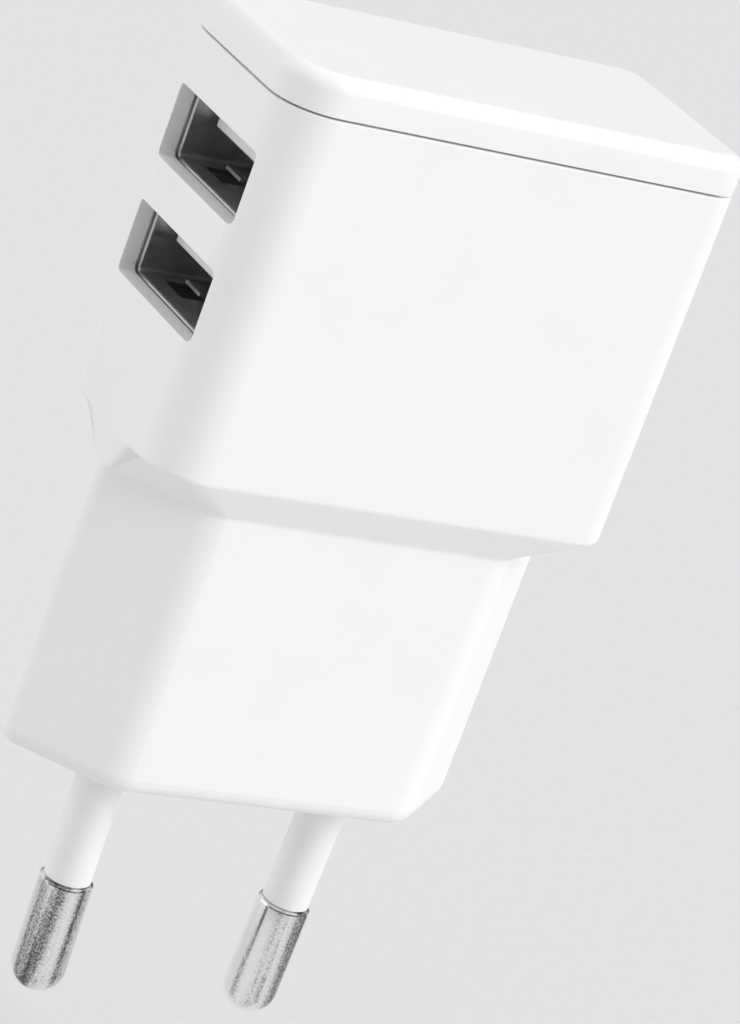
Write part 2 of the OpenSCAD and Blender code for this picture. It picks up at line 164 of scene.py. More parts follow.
# The room is darker towards its walls than overhead, which draws the edges of the metal
sky_way = add_node(sky, "TexCoord").outputs["Generated"]
sky_height = add_node(sky, "SeparateXYZ", {"Vector": sky_way}).outputs["Z"]
sky_shade = tint(sky, sky_height, (0.12, grey(0.1)), (0.5, grey(1)))
sky.node_tree.links.new(sky_shade, sky_light.inputs["Color"])
bpy.context.scene.world = sky


def lamp(name, towards, strength, softness):
    """A far, broad lamp that shines along towards."""
    light = bpy.data.lights.new(name, "SUN")
    light.energy = strength
    light.angle = math.radians(softness)
    holder = bpy.data.objects.new(name, light)
    holder.rotation_mode = "QUATERNION"
    holder.rotation_quaternion = Vector(towards).to_track_quat("-Z", "Y")
    bpy.context.scene.collection.objects.link(holder)


lamp("front_lamp", (-0.55, 0.65, -0.5), 1.75, 40)
lamp("side_lamp", (0.85, -0.5, -0.25), 0.92, 50)

# ------------------------------------------------------------------ housing
# One thin moulding in white plastic, open at the top: a slim six-sided neck, a sloping ledge
# and the thicker head, with two socket windows in its narrow end. It comes out of its mould
# with a fine satin grain, small radii on every edge, and two bores for the pins in its floor.
tiny = 0.002 * mm
weld = 0.0005 * mm
# A plane starts two millimetres wide, so its scale is half a width in millimetres
plane_w = 2 * mm


def start(name, add, **where):
    """Adds a primitive with all else deselected, and puts its place into its mesh."""
    if bpy.context.object and bpy.context.object.mode == "EDIT":
        bpy.ops.object.mode_set(mode="OBJECT")
    bpy.ops.object.select_all(action="DESELECT")
    add(**where)
    piece = bpy.context.object
    piece.name = piece.data.name = name
    bpy.ops.object.transform_apply(location=True, rotation=True, scale=True)
    return piece


def edit(on=True):
    bpy.ops.object.mode_set(mode="EDIT" if on else "OBJECT")


def pick(kind, test):
    """Selects the verts, edges or faces of the piece in edit mode whose every corner passes."""
    data = bpy.context.object.data
    bpy.ops.mesh.select_mode(type={"verts": "VERT", "edges": "EDGE", "faces": "FACE"}[kind])
    bpy.ops.mesh.select_all(action="DESELECT")
    shape = bmesh.from_edit_mesh(data)
    for part in getattr(shape, kind):
        corners = [part] if kind == "verts" else part.verts
        if all(test(corner.co) for corner in corners):
            part.select_set(True)
    bmesh.update_edit_mesh(data)


def round_corners(radius, turn, segments):
    """Rounds the picked corners of a flat outline, whose edges turn there by an angle."""
    bpy.ops.mesh.bevel(
        affect="VERTICES", offset_type="ABSOLUTE", offset=radius * math.tan(turn / 2),
        segments=segments, profile=0.5,
    )


def ease(radius, segments, profile=0.5):
    """Rounds the picked edges."""
    bpy.ops.mesh.bevel(affect="EDGES", offset=radius, segments=segments, profile=profile)


def extrude(x=0.0, y=0.0, z=0.0):
    bpy.ops.mesh.extrude_region_move(TRANSFORM_OT_translate={"value": (x, y, z)})


def size(x=1.0, y=1.0, z=1.0, centre=(0, 0, 0)):
    bpy.ops.transform.resize(value=(x, y, z), center_override=centre)


def choose(piece):
    """Selects one piece alone and makes it the active one."""
    bpy.ops.object.select_all(action="DESELECT")
    piece.select_set(True)
    bpy.context.view_layer.objects.active = piece


def apply_modifier(piece, kind, **settings):
    """Adds a modifier to a piece and applies it."""
    choose(piece)
    added = piece.modifiers.new(kind.lower(), kind)
    for key, value in settings.items():
        setattr(added, key, value)
    bpy.ops.object.modifier_apply(modifier=added.name)


def cut(piece, tool, mode="DIFFERENCE"):
    """Cuts a tool's shape out of a piece, or joins it on, and throws the tool away."""
    apply_modifier(piece, "BOOLEAN", object=tool, operation=mode, solver="EXACT")
    bpy.data.objects.remove(tool)


def finish_shape(piece, angle=40, weighted=True):
    """Turns the faces outwards, smooths all but the sharp edges, and evens the shading."""
    choose(piece)
    edit()
    bpy.ops.mesh.select_all(action="SELECT")
    bpy.ops.mesh.remove_doubles(threshold=weld)
    bpy.ops.mesh.normals_make_consistent(inside=False)
    edit(False)
    bpy.ops.object.shade_smooth_by_angle(angle=math.radians(angle))
    if weighted:
        apply_modifier(piece, "WEIGHTED_NORMAL", keep_sharp=True, weight=60)


case_low, case_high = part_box("housing")
neck_half_w = 18 * mm
neck_half_d = 6.75 * mm
neck_lean = 0.2 * mm
neck_h = 21.8 * mm
flat_half = 10.6 * mm
broad_r = 3 * mm
nose_r = 1.6 * mm
ledge_top = 24.7 * mm
near_r = 3.8 * mm
far_r = 2.2 * mm
case_wall = 1.4 * mm
floor_t = 2 * mm
foot_r = 1.4 * mm
rim_r = 0.1 * mm
ledge_r = 0.22 * mm
arc_steps = 8

# The slanting sides touch both the broad edge's round and the nose's round
run = (neck_half_w - nose_r - flat_half, broad_r - neck_half_d)
slant = math.atan2(run[1], run[0]) + math.acos((broad_r - nose_r) / math.hypot(*run))
reach = flat_half * math.cos(slant) + (neck_half_d - broad_r) * math.sin(slant) + broad_r
nose_tip = reach / math.cos(slant)
broad_tip = (reach - neck_half_d * math.sin(slant)) / math.cos(slant)

case = start(
    "case_body", bpy.ops.mesh.primitive_circle_add, vertices=6, radius=nose_tip,
    fill_type="NGON", rotation=(0, 0, math.pi / 2),
)
edit()
pick("verts", lambda p: abs(p.y) > tiny)
size(x=broad_tip / (nose_tip / 2), y=neck_half_d / (nose_tip * math.sqrt(0.75)))
pick("verts", lambda p: abs(p.y) > tiny)
round_corners(broad_r, math.pi / 2 - slant, arc_steps)
pick("verts", lambda p: abs(p.x) > nose_tip - tiny)
round_corners(nose_r, 2 * slant, arc_steps)
bpy.ops.mesh.select_all(action="SELECT")
extrude(z=neck_h)
pick("verts", lambda p: p.z > neck_h - tiny)
size(y=(neck_half_d + neck_lean) / neck_half_d)
# The head's outline, with as many points as the neck's
bpy.ops.mesh.select_all(action="DESELECT")
bpy.ops.mesh.primitive_plane_add(size=plane_w, location=(0, 0, ledge_top))
size(x=case_high.x / mm, y=case_high.y / mm)
pick("verts", lambda p: p.z > ledge_top - tiny and p.x < 0)
round_corners(near_r, math.pi / 2, arc_steps)
pick("verts", lambda p: p.z > ledge_top - tiny and p.x > 0)
round_corners(far_r, math.pi / 2, arc_steps)
for side in (-1, 1):
    pick("edges", lambda p: p.z > ledge_top - tiny and p.x * side > case_high.x - tiny)
    bpy.ops.mesh.subdivide(number_cuts=arc_steps + 1)
pick("faces", lambda p: p.z > ledge_top - tiny)
bpy.ops.mesh.delete(type="ONLY_FACE")
pick("faces", lambda p: abs(p.z - neck_h) < tiny)
bpy.ops.mesh.delete(type="ONLY_FACE")
pick("edges", lambda p: abs(p.z - neck_h) < tiny or abs(p.z - ledge_top) < tiny)
bpy.ops.mesh.bridge_edge_loops()
pick("edges", lambda p: p.z > ledge_top - tiny)
extrude(z=case_high.z - ledge_top)
pick("faces", lambda p: abs(abs(p.x) - case_high.x) < tiny and p.z > ledge_top - tiny)
bpy.ops.mesh.dissolve_faces()
edit(False)
finish_shape(case, weighted=False)
apply_modifier(case, "SOLIDIFY", thickness=case_wall, offset=-1, use_even_offset=True)
edit()
pick("verts", lambda p: tiny < p.z < case_wall + tiny)
bpy.ops.transform.translate(value=(0, 0, floor_t - case_wall))
pick("faces", lambda p: p.z < tiny)
bpy.ops.mesh.region_to_loop()
ease(foot_r, 6)
pick("faces", lambda p: p.z > case_high.z - tiny)
bpy.ops.mesh.region_to_loop()
ease(rim_r, 2)
for height in (neck_h, ledge_top):
    pick("edges", lambda p: abs(p.z - height) < tiny)
    ease(ledge_r, 3)
edit(False)


def soft_bar(name, x, length, width, height, radius, y=0.0, z=0.0, steps=5):
    """A bar along X with a round-cornered section, closed at both ends."""
    bar = start(
        name, bpy.ops.mesh.primitive_plane_add, size=plane_w, location=(x, y, z),
        rotation=(0, math.pi / 2, 0),
    )
    edit()
    bpy.ops.mesh.select_all(action="SELECT")
    size(y=width / 2 / mm, z=height / 2 / mm, centre=(x, y, z))
    round_corners(radius, math.pi / 2, steps)
    bpy.ops.mesh.select_all(action="SELECT")
    extrude(x=length)
    bpy.ops.mesh.select_all(action="SELECT")
    bpy.ops.mesh.normals_make_consistent(inside=False)
    edit(False)
    return bar


upper_low, upper_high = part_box("upper_socket_shell")
lower_low, lower_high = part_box("lower_socket_shell")
port_y = (upper_low.y + upper_high.y) / 2
upper_z = (upper_low.z + upper_high.z) / 2
lower_z = (lower_low.z + lower_high.z) / 2
window_w = 12.7 * mm
window_h = 5.32 * mm
window_r = 0.5 * mm
window_depth = case_wall + 2.5 * mm
# The steel tube stands in a wider seat behind the window
seat_w = 13.4 * mm
seat_h = 6.02 * mm
seat_r = 0.6 * mm
seat_depth = 4 * mm
inner_x = case_high.x - case_wall
for port_z in (lower_z, upper_z):
    cut(case, soft_bar("tool", case_low.x - mm, window_depth, window_w, window_h, window_r,
                       port_y, port_z))
    cut(case, soft_bar("tool", -inner_x, seat_depth, seat_w, seat_h, seat_r, port_y, port_z))
edit()
for port_z in (lower_z, upper_z):
    pick("edges", lambda p: p.x < case_low.x + tiny and abs(p.y - port_y) < window_w / 2 + tiny
         and abs(p.z - port_z) < window_h / 2 + tiny)
    ease(rim_r, 2)
edit(False)

# The bores for the pins lean with them
pin_gap = 18.6 * mm
pin_len = 19
pin_tilt = math.atan(0.55 / pin_len)
bore_r = 1.95 * mm
bore_len = 8 * mm
for side in (-1, 1):
    bore = start(
        "tool", bpy.ops.mesh.primitive_cylinder_add, vertices=64, radius=bore_r,
        depth=bore_len, rotation=(0, side * pin_tilt, 0), location=(side * pin_gap / 2, 0, 0),
    )
    cut(case, bore)

# Two ribs hold the edge of the main board
board_low, board_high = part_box("main_board")
rib_start = board_high.x - 0.6 * mm
rib_end = inner_x + 0.2 * mm
rib_off = 0.57 * mm
rib_t = 0.9
rib_h = 20
rib_z = 36.2 * mm
for rib_y in (board_low.y - rib_off, board_high.y + rib_off):
    rib = start(
        "tool", bpy.ops.mesh.primitive_cube_add, size=mm,
        location=((rib_start + rib_end) / 2, rib_y, rib_z),
        scale=((rib_end - rib_start) / mm, rib_t, rib_h),
    )
    cut(case, rib, "UNION")
finish_shape(case, angle=50)

white, white_shader, white_place = new_material("white_moulded", ior=1.5)
mould_cloud = noise(white, white_place, 120, 3)
mould_grain = noise(white, white_place, 7000, 3, 0.6)
link_patterns(
    white, white_shader,
    colour=tint(white, mould_cloud, (0.3, grey(0.905)), (0.7, grey(0.925))),
    rough=spread(white, mould_grain, 0.34, 0.46),
    height=mould_grain, strength=0.12, depth=0.01 * mm,
)
case.data.materials.append(white)
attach(case, "charger")
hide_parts("housing")

# ------------------------------------------------------------------ end cover
# The lid over the open end of the housing, moulded in the same white plastic. It stands off
# the rim by a fine seam, its upper edge is well rounded, and a skirt inside locates it.
cover_low, cover_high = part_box("end_cover")
seam = 0.15 * mm
cover_z = case_high.z + seam
cover_r = 1.1 * mm
cover_steps = 12
skirt_t = 0.9 * mm
well_depth = 0.6 * mm
cover = start(
    "case_cover", bpy.ops.mesh.primitive_plane_add, size=plane_w, location=(0, 0, cover_z)
)
edit()
bpy.ops.mesh.select_all(action="SELECT")
size(x=cover_high.x / mm, y=cover_high.y / mm, centre=(0, 0, cover_z))
pick("verts", lambda p: p.x < 0)
round_corners(near_r, math.pi / 2, cover_steps)
pick("verts", lambda p: p.x > 0)
round_corners(far_r, math.pi / 2, cover_steps)
bpy.ops.mesh.select_all(action="SELECT")
extrude(z=cover_high.z - cover_z)
bpy.ops.mesh.select_all(action="SELECT")
bpy.ops.mesh.normals_make_consistent(inside=False)
pick("faces", lambda p: p.z > cover_high.z - tiny)
bpy.ops.mesh.region_to_loop()
ease(cover_r, 10)
pick("faces", lambda p: p.z < cover_z + tiny)
bpy.ops.mesh.region_to_loop()
ease(rim_r, 2)
pick("faces", lambda p: p.z < cover_z + tiny)
bpy.ops.mesh.inset(thickness=case_wall)
extrude(z=cover_low.z - cover_z)
bpy.ops.mesh.inset(thickness=skirt_t)
extrude(z=cover_z - cover_low.z + well_depth)
edit(False)
finish_shape(cover, angle=35)
cover.data.materials.append(white)
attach(cover, "charger")
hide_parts("end_cover")

# ------------------------------------------------------------------ pins
# Two turned brass pins with bright nickel plate: a full-width round-nosed end, and behind a
# bevelled shoulder a thin core that runs through the sleeve to a flange in the carrier.


def turned(name, profile, steps=64, closed=False):
    """A lathe-turned piece along Z. profile lists its radii and heights in millimetres."""
    radius, height = profile[0]
    piece = start(
        name, bpy.ops.mesh.primitive_circle_add, vertices=steps, radius=radius * mm,
        location=(0, 0, height * mm), fill_type="NOTHING" if closed else "NGON",
    )
    edit()
    bpy.ops.mesh.select_all(action="SELECT")
    rest = profile[1:] + profile[:1] if closed else profile[1:]
    for wide, high in rest:
        bpy.ops.mesh.extrude_edges_move(
            TRANSFORM_OT_translate={"value": (0, 0, (high - height) * mm)}
        )
        if abs(wide - radius) > 1e-6:
            size(x=wide / radius, y=wide / radius, centre=(0, 0, high * mm))
        radius, height = wide, high
    if not closed:
        bpy.ops.mesh.edge_face_add()
    bpy.ops.mesh.select_all(action="SELECT")
    bpy.ops.mesh.remove_doubles(threshold=weld)
    bpy.ops.mesh.normals_make_consistent(inside=False)
    edit(False)
    return piece


def on_pin(piece, side):
    """Leans a piece that was made along Z, and moves it to a pin's place."""
    piece.rotation_euler = (0, side * pin_tilt, 0)
    piece.location = (side * pin_gap / 2, 0, 0)
    choose(piece)
    bpy.ops.object.transform_apply(location=True, rotation=True, scale=True)


def copy_of(piece, name, move=grey(0.0)):
    """A copy of a piece with its own mesh, moved."""
    twin = piece.copy()
    twin.data = piece.data.copy()
    twin.name = twin.data.name = name
    twin.data.transform(Matrix.Translation(move))
    bpy.context.scene.collection.objects.link(twin)
    return twin


pin_r = 2
nose_steps = 12
nose = []
for step in range(1, nose_steps + 1):
    turn = math.pi / 2 * step / nose_steps
    nose.append((pin_r * math.sin(turn), pin_r - pin_len - pin_r * math.cos(turn)))
pin_profile = nose + [
    (pin_r, -10.22), (1.95, -10.08), (1.8, -10), (1.3, -10), (1.3, 2.2), (2.3, 2.2), (2.4, 2.3),
    (2.4, 3), (2.3, 3.1), (1.3, 3.1), (1.3, 6.8), (1.1, 7),
]
edge_r = 0.03 * mm
left_pin = turned("left_pin_turned", pin_profile)
apply_modifier(left_pin, "BEVEL", width=edge_r, segments=1, limit_method="ANGLE",
               angle_limit=math.radians(50))
right_pin = copy_of(left_pin, "right_pin_turned")

nickel, nickel_shader, nickel_place = new_material("nickel_plate", metallic=1.0)
plate_speckle = noise(nickel, nickel_place, 6500, 4, 0.8)
# A cloud stretched along the pin: in the colour it paints reflection streaks, and in the
# roughness it varies the gloss
painted_reflection_streak = noise(nickel, nickel_place, 750, 2, 0.5, stretch=(1, 1, 0.03))
# The colour holds painted reflections: darker streaks run along the pin in place of dark
# surroundings mirrored in the plate, broken up by a fine speckle of the plate's own grain
speckle_weight = 0.38
reflection_streak_share = add_node(
    nickel, "Math", {0: painted_reflection_streak, 1: 1 - speckle_weight}, operation="MULTIPLY"
).outputs[0]
speckle_and_reflection_mix = add_node(
    nickel, "Math", {0: plate_speckle, 1: speckle_weight, 2: reflection_streak_share},
    operation="MULTIPLY_ADD",
).outputs[0]
# The ramp's near-black end is the painted reflection of the streaks, and its light end is the
# bright plate
link_patterns(
    nickel, nickel_shader,
    colour=tint(nickel, speckle_and_reflection_mix, (0.40, grey(0.09)), (0.46, (0.42, 0.42, 0.41)),
                (0.50, (0.74, 0.74, 0.73)), (0.56, (0.90, 0.90, 0.89))),
    rough=spread(nickel, painted_reflection_streak, 0.08, 0.2),
    height=plate_speckle, strength=0.25, depth=0.01 * mm,
)
for pin, side, node in ((left_pin, -1, "left_pin"), (right_pin, 1, "right_pin")):
    pin.data.materials.append(nickel)
    on_pin(pin, side)
    finish_shape(pin, angle=40, weighted=False)
    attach(pin, "charger")
    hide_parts(node)

# ------------------------------------------------------------------ sleeves
# A white plastic tube shrouds the foot of each pin, so that no live metal shows while the
# plug is pulled. A short wider collar seats it in the housing's bore.
left_sleeve = turned("left_sleeve_tube", [
    (1.32, -1.9), (1.9, -1.9), (1.9, 1.1), (1.87, 1.2), (1.77, 1.45), (1.75, 1.52),
    (1.75, 9.87), (1.65, 9.97), (1.32, 9.97),
], closed=True)
# Its heights were written outwards from the housing, and the pins point down
edit()
bpy.ops.mesh.select_all(action="SELECT")
size(z=-1)
edit(False)
right_sleeve = copy_of(left_sleeve, "right_sleeve_tube")
sheath, sheath_shader, sheath_place = new_material("white_sheath", ior=1.48)
sheath_cloud = noise(sheath, sheath_place, 260, 3)
sheath_grain = noise(sheath, sheath_place, 6000, 2, stretch=(1, 1, 0.2))
link_patterns(
    sheath, sheath_shader,
    colour=tint(sheath, sheath_cloud, (0.3, grey(0.87)), (0.7, grey(0.90))),
    rough=spread(sheath, sheath_grain, 0.4, 0.52),
    height=sheath_grain, strength=0.15, depth=0.01 * mm,
)
for sleeve, side, node in ((left_sleeve, -1, "left_sleeve"), (right_sleeve, 1, "right_sleeve")):
    sleeve.data.materials.append(sheath)
    on_pin(sleeve, side)
    finish_shape(sleeve, angle=40, weighted=False)
    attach(sleeve, "charger")
    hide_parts(node)

# ------------------------------------------------------------------ socket shells
# The steel tube of each USB socket, folded from nickelled sheet 0.3 mm thick. Its front edge
# is eased all round for the plug, and its lower wall has a slot for each latch tab.
steel, steel_shader, steel_place = new_material("socket_steel", metallic=1.0)
sheet_cloud = noise(steel, steel_place, 700, 3, 0.6)
sheet_grain = noise(steel, steel_place, 3000, 3, 0.6, stretch=(0.08, 1, 1))
link_patterns(
    steel, steel_shader,
    colour=tint(steel, sheet_cloud, (0.3, grey(0.50)), (0.7, grey(0.62))),
    rough=spread(steel, sheet_grain, 0.28, 0.44),
    height=sheet_grain, strength=0.2, depth=0.01 * mm,
)
sheet_t = 0.3 * mm
shell_x = upper_low.x
shell_end = upper_high.x
latch_root = shell_x + 5.7 * mm
latch_len = 3.8 * mm
latch_y = 3.6 * mm
slot_start = latch_root - latch_len - 0.25 * mm
slot_end = latch_root + 0.05 * mm
slot_w = 2.9
tube_r = 0.6 * mm
lead_in = 0.22 * mm
tube_w = upper_high.y - upper_low.y
tube_h = upper_high.z - upper_low.z


def hollow_shell(name, port_z):
    """A socket's steel tube, open at both ends, its front edge eased on the inside."""
    tube = soft_bar(name, shell_x, shell_end - shell_x, tube_w, tube_h, tube_r,
                    port_y, port_z, steps=4)
    edit()
    for end_x in (shell_x, shell_end):
        pick("faces", lambda p: abs(p.x - end_x) < tiny)
        bpy.ops.mesh.delete(type="ONLY_FACE")
    edit(False)
    apply_modifier(tube, "SOLIDIFY", thickness=sheet_t, offset=-1, use_even_offset=True)
    for y_side in (-1, 1):
        slot = start(
            "tool", bpy.ops.mesh.primitive_cube_add, size=mm,
            location=((slot_start + slot_end) / 2, port_y + y_side * latch_y,
                      port_z - tube_h / 2),
            scale=((slot_end - slot_start) / mm, slot_w, 1),
        )
        cut(tube, slot)
    edit()
    inside = 0.2 * mm
    pick("edges", lambda p: p.x < shell_x + tiny and abs(p.y - port_y) < tube_w / 2 - inside
         and abs(p.z - port_z) < tube_h / 2 - inside)
    ease(lead_in, 3)
    edit(False)
    finish_shape(tube, angle=35)
    tube.data.materials.append(steel)
    return tube


for name, port_z in (("upper", upper_z), ("lower", lower_z)):
    shell = hollow_shell(name + "_steel_tube", port_z)
    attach(shell, "charger")
    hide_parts(name + "_socket_shell")

# ------------------------------------------------------------------ insulators
# One white moulding closes the back of each socket and reaches forward as the tongue. Four
# grooves under the tongue guide the contacts, and its front edges are chamfered for the plug.
plastic, plastic_shader, plastic_place = new_material("tongue_plastic", ior=1.5)
plastic_cloud = noise(plastic, plastic_place, 400, 3)
plastic_grain = noise(plastic, plastic_place, 8000, 3, 0.6)
link_patterns(
    plastic, plastic_shader,
    colour=tint(plastic, plastic_cloud, (0.3, (0.84, 0.84, 0.835)), (0.7, (0.89, 0.89, 0.885))),
    rough=spread(plastic, plastic_grain, 0.42, 0.56),
    height=plastic_grain, strength=0.15, depth=0.01 * mm,
)
block_x = shell_end - 3.1 * mm
tongue_x = shell_x + 1.6 * mm
tongue_mid = 1.09 * mm
tongue_t = 1.84 * mm
tongue_w = 11.1
tongue_edge_r = 0.35 * mm
block_w = 12.4 * mm
block_h = 5.02 * mm
block_r = 0.35 * mm
groove_x = tongue_x + 0.5 * mm
groove_w = 1.3
groove_depth = 1.35
groove_tool_h = 2
root_z = 0.775 * mm
contact_places = (-3.5 * mm, -mm, mm, 3.5 * mm)


def tongue_block(name, port_z):
    """The block at the back of a socket with its tongue, grooved for four contacts."""
    block = soft_bar(name, block_x, shell_end - block_x, block_w, block_h, block_r,
                     port_y, port_z)
    tongue = start(
        "tool", bpy.ops.mesh.primitive_cube_add, size=mm,
        location=((tongue_x + block_x + mm) / 2, port_y, port_z + tongue_mid),
        scale=((block_x + mm - tongue_x) / mm, tongue_w, tongue_t / mm),
    )
    edit()
    pick("edges", lambda p: p.x < tongue_x + tiny)
    ease(tongue_edge_r, 3, 0.6)
    edit(False)
    cut(block, tongue, "UNION")
    for place in contact_places:
        groove = start(
            "tool", bpy.ops.mesh.primitive_cube_add, size=mm,
            location=((groove_x + block_x) / 2, port_y + place,
                      port_z + tongue_mid - tongue_t / 2
                      + (groove_depth - groove_tool_h / 2) * mm),
            scale=((block_x - groove_x) / mm, groove_w, groove_tool_h),
        )
        cut(block, groove)
        tail_slot = start(
            "tool", bpy.ops.mesh.primitive_cube_add, size=mm,
            location=(shell_end, port_y + place, port_z + root_z), scale=(8.2, 1.1, 0.35),
        )
        cut(block, tail_slot)
    finish_shape(block, angle=35)
    block.data.materials.append(plastic)
    return block


for name, port_z in (("upper", upper_z), ("lower", lower_z)):
    block = tongue_block(name + "_tongue_block", port_z)
    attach(block, "charger")
    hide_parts(name + "_insulator")

# ------------------------------------------------------------------ contacts
# Each socket has four gilded strips of spring bronze. They run forward in the tongue's grooves
# from the block, bow down to a bump for the plug, and turn up again at the tip.
gilt, gilt_shader, gilt_place = new_material("gilt_bronze", metallic=1.0)
gilt_cloud = noise(gilt, gilt_place, 1200, 3)
gilt_grain = noise(gilt, gilt_place, 9000, 2, stretch=(0.1, 1, 1))
link_patterns(
    gilt, gilt_shader,
    colour=tint(gilt, gilt_cloud, (0.3, (0.74, 0.55, 0.24)), (0.7, (0.86, 0.68, 0.34))),
    rough=spread(gilt, gilt_grain, 0.18, 0.34),
    height=gilt_grain, strength=0.15, depth=0.01 * mm,
)


def strip(name, path, width, thick, bend, y, end_round=0.0):
    """A flat spring bent from sheet along a path of X and Z, its bends and edges rounded."""
    (x0, z0), (x1, z1) = path[:2]
    piece = start(name, bpy.ops.mesh.primitive_plane_add, size=plane_w, location=(x0, y, z0))
    edit()
    bpy.ops.mesh.select_all(action="SELECT")
    size(y=width / 2 / mm, centre=(x0, y, z0))
    pick("verts", lambda p: p.x > x0)
    bpy.ops.transform.translate(value=(-mm, 0, 0))
    pick("verts", lambda p: p.x < x0 - tiny)
    bpy.ops.transform.translate(value=(x1 - x0 + mm, 0, z1 - z0))
    at_x, at_z = x1, z1
    for next_x, next_z in path[2:]:
        extrude(x=next_x - at_x, z=next_z - at_z)
        at_x, at_z = next_x, next_z
    for bend_x, bend_z in path[1:-1]:
        pick("edges", lambda p: abs(p.x - bend_x) < tiny and abs(p.z - bend_z) < tiny)
        ease(bend, 4)
    if end_round:
        pick("verts", lambda p: p.x < at_x + tiny)
        bpy.ops.mesh.bevel(affect="VERTICES", offset=end_round, segments=4, profile=0.5)
    edit(False)
    apply_modifier(piece, "SOLIDIFY", thickness=thick, offset=0, use_even_offset=True)
    apply_modifier(piece, "BEVEL", width=edge_r, segments=1, limit_method="ANGLE",
                   angle_limit=math.radians(60))
    finish_shape(piece, angle=35)
    return piece


contact_w = mm
contact_t = 0.24 * mm
bump_x = tongue_x + 3.1 * mm
bump_z = -0.38 * mm
contact_path = [
    (block_x - 0.4 * mm, root_z), (bump_x + 0.55 * mm, bump_z + 0.125 * mm),
    (bump_x - 0.35 * mm, bump_z + 0.125 * mm), (tongue_x + 1.25 * mm, bump_z + 0.74 * mm),
]
for name, port_z in (("upper", upper_z), ("lower", lower_z)):
    first = strip(
        name + "_gilt_spring_1", [(x, z + port_z) for x, z in contact_path],
        contact_w, contact_t, bend=0.12 * mm, y=port_y + contact_places[0],
    )
    first.data.materials.append(gilt)
    springs = [first] + [
        copy_of(first, "%s_gilt_spring_%d" % (name, number),
                (0, contact_places[number - 1] - contact_places[0], 0))
        for number in (2, 3, 4)
    ]
    for number, spring in enumerate(springs, 1):
        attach(spring, name + "_contacts")
        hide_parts("%s_contact_%d" % (name, number))

# ------------------------------------------------------------------ latch tabs
# Two spring tabs stand in slots in the lower wall of each steel tube. Each rises inwards from
# its root to catch the plug, and ends in a rounded lip that is turned back down.
latch_path = [
    (latch_root - 0.03 * mm, 0.15 * mm), (latch_root - latch_len + 1.15 * mm, 0.65 * mm),
    (latch_root - latch_len + 0.75 * mm, 0.65 * mm),
    (latch_root - latch_len + 0.12 * mm, 0.17 * mm),
]
for name, port_z in (("upper", upper_z), ("lower", lower_z)):
    front = strip(
        name + "_spring_tab_front", [(x, z + port_z - tube_h / 2) for x, z in latch_path],
        width=2.4 * mm, thick=0.28 * mm, bend=0.1 * mm, y=port_y - latch_y, end_round=0.3 * mm,
    )
    front.data.materials.append(steel)
    back = copy_of(front, name + "_spring_tab_back", (0, 2 * latch_y, 0))
    for tab, node in ((front, "_latch_front"), (back, "_latch_back")):
        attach(tab, name + "_latches")
        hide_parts(name + node)

# ------------------------------------------------------------------ pin carrier and strips
# Behind the floor a glass-filled nylon block locks the flanges of both pins. From each pin's
# tail a strip stamped from brass sheet carries the mains up to the main board.


def paint(finish, *names):
    """Gives CAD nodes that stay in sight the finish of their real surface."""
    for name in names:
        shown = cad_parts[name]
        if not shown.data.materials:
            shown.data.materials.append(finish)
        for place in shown.material_slots:
            place.material = finish


nylon, nylon_shader, nylon_place = new_material("ivory_nylon", ior=1.53)
nylon_fibre = noise(nylon, nylon_place, 2600, 4, 0.65, stretch=(1, 1, 0.25))
link_patterns(
    nylon, nylon_shader,
    colour=tint(nylon, nylon_fibre, (0.3, (0.62, 0.57, 0.45)), (0.7, (0.74, 0.70, 0.58))),
    rough=spread(nylon, nylon_fibre, 0.5, 0.7), height=nylon_fibre, strength=0.25,
)
paint(nylon, "pin_carrier")

brass, brass_shader, brass_place = new_material("stamped_brass", metallic=1.0)
brass_roll = noise(brass, brass_place, 1500, 4, 0.6, stretch=(1, 0.08, 1))
link_patterns(
    brass, brass_shader,
    colour=tint(brass, brass_roll, (0.3, (0.58, 0.40, 0.14)), (0.7, (0.76, 0.57, 0.25))),
    rough=spread(brass, brass_roll, 0.24, 0.42), height=brass_roll, strength=0.15,
)
paint(brass, "left_pin_strip", "right_pin_strip")

# ------------------------------------------------------------------ circuit boards
# Both boards are woven glass and epoxy under green solder mask. The weave shows faintly through
# the lacquer, and the copper beneath it makes lighter lanes.
board_mask, board_shader, board_place = new_material("green_solder_mask", ior=1.52)
weave_up, weave_across = (
    add_node(
        board_mask, "TexWave", {"Vector": board_place, "Scale": 900.0, "Distortion": 1.0},
        bands_direction=way,
    ).outputs["Fac"]
    for way in ("Z", "X")
)
weave = add_node(
    board_mask, "Math", {0: weave_up, 1: weave_across}, operation="MULTIPLY"
).outputs[0]
lanes = add_node(
    board_mask, "TexVoronoi", {"Vector": board_place, "Scale": 420.0},
    distance="MANHATTAN", feature="F1",
).outputs["Distance"]
link_patterns(
    board_mask, board_shader,
    colour=tint(board_mask, lanes, (0.25, (0.035, 0.22, 0.08)), (0.4, (0.05, 0.30, 0.12)),
                (0.8, (0.03, 0.19, 0.07))),
    rough=spread(board_mask, weave, 0.26, 0.4), height=weave, strength=0.15,
)
paint(board_mask, "main_board", "socket_board")

# ------------------------------------------------------------------ contact tails
# Behind each socket's block the four contact strips turn down and run through the small board.
# They are tinned for soldering, so they are duller than the gilded springs in front.
tinned, tinned_shader, tinned_place = new_material("tinned_wire", metallic=1.0)
tin_cloud = noise(tinned, tinned_place, 1800, 3, 0.6)
link_patterns(
    tinned, tinned_shader,
    colour=tint(tinned, tin_cloud, (0.3, (0.48, 0.48, 0.47)), (0.7, (0.66, 0.66, 0.64))),
    rough=spread(tinned, tin_cloud, 0.3, 0.48), height=tin_cloud, strength=0.2,
)
paint(tinned, "upper_contact_tails", "lower_contact_tails")

